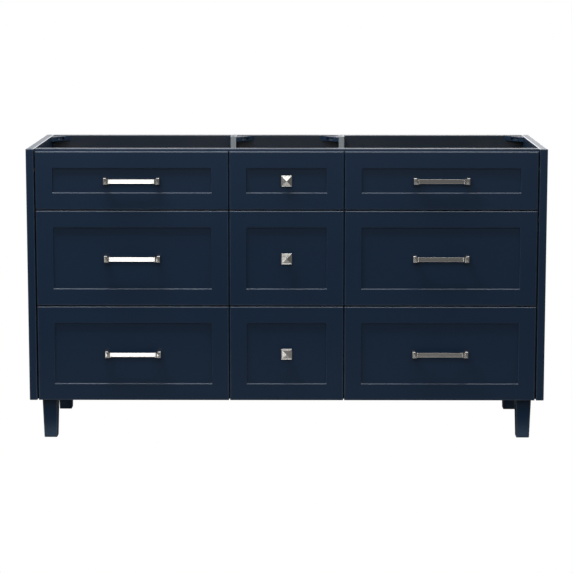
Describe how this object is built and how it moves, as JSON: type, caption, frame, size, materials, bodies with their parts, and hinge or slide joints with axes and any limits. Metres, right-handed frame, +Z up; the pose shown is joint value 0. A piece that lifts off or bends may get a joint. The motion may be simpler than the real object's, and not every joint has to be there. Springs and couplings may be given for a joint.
{
  "type": "bathroom vanity cabinet",
  "caption": "Free-standing bathroom vanity base with an open top, recessed-panel drawers on full-extension slides, bar pulls and square knobs, and short tapered legs.",
  "frame": {"origin": "on the floor, below the middle of the whole box with the handles included", "axes": "+X to the right as seen from the front, along the width; +Y to the back, towards the wall; +Z up. The drawers open towards -Y."},
  "size_m": [1.524, 0.573, 0.864],
  "materials": {
    "navy_lacquer": "satin lacquer",
    "drawer_birch": "clear satin",
    "brushed_nickel": "brushed",
    "zinc_steel": "bright zinc plate",
    "black_screw": "black phosphate"
  },
  "bodies": {
    "cabinet": {"left_side_panel": "navy_lacquer", "right_side_panel": "navy_lacquer", "left_partition": "navy_lacquer", "right_partition": "navy_lacquer", "case_floor": "navy_lacquer", "back_panel": "navy_lacquer", "back_rails": "navy_lacquer", "top_front_rail": "navy_lacquer", "corner_braces": "navy_lacquer", "brace_screws": "black_screw", "front_legs": "navy_lacquer", "rear_legs": "navy_lacquer", "leg_bolts": "zinc_steel", "slide_outer_members": "zinc_steel", "slide_screws": "zinc_steel"},
    "lower_left_drawer": {"lower_left_front": "navy_lacquer", "lower_left_box": "drawer_birch", "lower_left_pull": "brushed_nickel", "lower_left_slide_inner": "zinc_steel"},
    "lower_left_slide_middle": {"lower_left_slide_middle": "zinc_steel"},
    "lower_centre_drawer": {"lower_centre_front": "navy_lacquer", "lower_centre_box": "drawer_birch", "lower_centre_knob": "brushed_nickel", "lower_centre_slide_inner": "zinc_steel"},
    "lower_centre_slide_middle": {"lower_centre_slide_middle": "zinc_steel"},
    "lower_right_drawer": {"lower_right_front": "navy_lacquer", "lower_right_box": "drawer_birch", "lower_right_pull": "brushed_nickel", "lower_right_slide_inner": "zinc_steel"},
    "lower_right_slide_middle": {"lower_right_slide_middle": "zinc_steel"},
    "middle_left_drawer": {"middle_left_front": "navy_lacquer", "middle_left_box": "drawer_birch", "middle_left_pull": "brushed_nickel", "middle_left_slide_inner": "zinc_steel"},
    "middle_left_slide_middle": {"middle_left_slide_middle": "zinc_steel"},
    "middle_centre_drawer": {"middle_centre_front": "navy_lacquer", "middle_centre_box": "drawer_birch", "middle_centre_knob": "brushed_nickel", "middle_centre_slide_inner": "zinc_steel"},
    "middle_centre_slide_middle": {"middle_centre_slide_middle": "zinc_steel"},
    "middle_right_drawer": {"middle_right_front": "navy_lacquer", "middle_right_box": "drawer_birch", "middle_right_pull": "brushed_nickel", "middle_right_slide_inner": "zinc_steel"},
    "middle_right_slide_middle": {"middle_right_slide_middle": "zinc_steel"},
    "upper_left_drawer": {"upper_left_front": "navy_lacquer", "upper_left_box": "drawer_birch", "upper_left_pull": "brushed_nickel", "upper_left_slide_inner": "zinc_steel"},
    "upper_left_slide_middle": {"upper_left_slide_middle": "zinc_steel"},
    "upper_centre_drawer": {"upper_centre_front": "navy_lacquer", "upper_centre_box": "drawer_birch", "upper_centre_knob": "brushed_nickel", "upper_centre_slide_inner": "zinc_steel"},
    "upper_centre_slide_middle": {"upper_centre_slide_middle": "zinc_steel"},
    "upper_right_drawer": {"upper_right_front": "navy_lacquer", "upper_right_box": "drawer_birch", "upper_right_pull": "brushed_nickel", "upper_right_slide_inner": "zinc_steel"},
    "upper_right_slide_middle": {"upper_right_slide_middle": "zinc_steel"}
  },
  "joints": [
    {"name": "lower_left_drawer_slide", "type": "slide", "parent": "cabinet", "child": "lower_left_drawer", "axis": [0, -1, 0], "range_m": [0, 0.45]},
    {"name": "lower_left_slide_middle_travel", "type": "slide", "parent": "cabinet", "child": "lower_left_slide_middle", "axis": [0, -1, 0], "range_m": [0, 0.225]},
    {"name": "lower_centre_drawer_slide", "type": "slide", "parent": "cabinet", "child": "lower_centre_drawer", "axis": [0, -1, 0], "range_m": [0, 0.45]},
    {"name": "lower_centre_slide_middle_travel", "type": "slide", "parent": "cabinet", "child": "lower_centre_slide_middle", "axis": [0, -1, 0], "range_m": [0, 0.225]},
    {"name": "lower_right_drawer_slide", "type": "slide", "parent": "cabinet", "child": "lower_right_drawer", "axis": [0, -1, 0], "range_m": [0, 0.45]},
    {"name": "lower_right_slide_middle_travel", "type": "slide", "parent": "cabinet", "child": "lower_right_slide_middle", "axis": [0, -1, 0], "range_m": [0, 0.225]},
    {"name": "middle_left_drawer_slide", "type": "slide", "parent": "cabinet", "child": "middle_left_drawer", "axis": [0, -1, 0], "range_m": [0, 0.45]},
    {"name": "middle_left_slide_middle_travel", "type": "slide", "parent": "cabinet", "child": "middle_left_slide_middle", "axis": [0, -1, 0], "range_m": [0, 0.225]},
    {"name": "middle_centre_drawer_slide", "type": "slide", "parent": "cabinet", "child": "middle_centre_drawer", "axis": [0, -1, 0], "range_m": [0, 0.45]},
    {"name": "middle_centre_slide_middle_travel", "type": "slide", "parent": "cabinet", "child": "middle_centre_slide_middle", "axis": [0, -1, 0], "range_m": [0, 0.225]},
    {"name": "middle_right_drawer_slide", "type": "slide", "parent": "cabinet", "child": "middle_right_drawer", "axis": [0, -1, 0], "range_m": [0, 0.45]},
    {"name": "middle_right_slide_middle_travel", "type": "slide", "parent": "cabinet", "child": "middle_right_slide_middle", "axis": [0, -1, 0], "range_m": [0, 0.225]},
    {"name": "upper_left_drawer_slide", "type": "slide", "parent": "cabinet", "child": "upper_left_drawer", "axis": [0, -1, 0], "range_m": [0, 0.45]},
    {"name": "upper_left_slide_middle_travel", "type": "slide", "parent": "cabinet", "child": "upper_left_slide_middle", "axis": [0, -1, 0], "range_m": [0, 0.225]},
    {"name": "upper_centre_drawer_slide", "type": "slide", "parent": "cabinet", "child": "upper_centre_drawer", "axis": [0, -1, 0], "range_m": [0, 0.45]},
    {"name": "upper_centre_slide_middle_travel", "type": "slide", "parent": "cabinet", "child": "upper_centre_slide_middle", "axis": [0, -1, 0], "range_m": [0, 0.225]},
    {"name": "upper_right_drawer_slide", "type": "slide", "parent": "cabinet", "child": "upper_right_drawer", "axis": [0, -1, 0], "range_m": [0, 0.45]},
    {"name": "upper_right_slide_middle_travel", "type": "slide", "parent": "cabinet", "child": "upper_right_slide_middle", "axis": [0, -1, 0], "range_m": [0, 0.225]}
  ],
  "couplings": [
    {"joint": "lower_left_slide_middle_travel", "follows": "lower_left_drawer_slide", "ratio": 0.5},
    {"joint": "lower_centre_slide_middle_travel", "follows": "lower_centre_drawer_slide", "ratio": 0.5},
    {"joint": "lower_right_slide_middle_travel", "follows": "lower_right_drawer_slide", "ratio": 0.5},
    {"joint": "middle_left_slide_middle_travel", "follows": "middle_left_drawer_slide", "ratio": 0.5},
    {"joint": "middle_centre_slide_middle_travel", "follows": "middle_centre_drawer_slide", "ratio": 0.5},
    {"joint": "middle_right_slide_middle_travel", "follows": "middle_right_drawer_slide", "ratio": 0.5},
    {"joint": "upper_left_slide_middle_travel", "follows": "upper_left_drawer_slide", "ratio": 0.5},
    {"joint": "upper_centre_slide_middle_travel", "follows": "upper_centre_drawer_slide", "ratio": 0.5},
    {"joint": "upper_right_slide_middle_travel", "follows": "upper_right_drawer_slide", "ratio": 0.5}
  ]
}
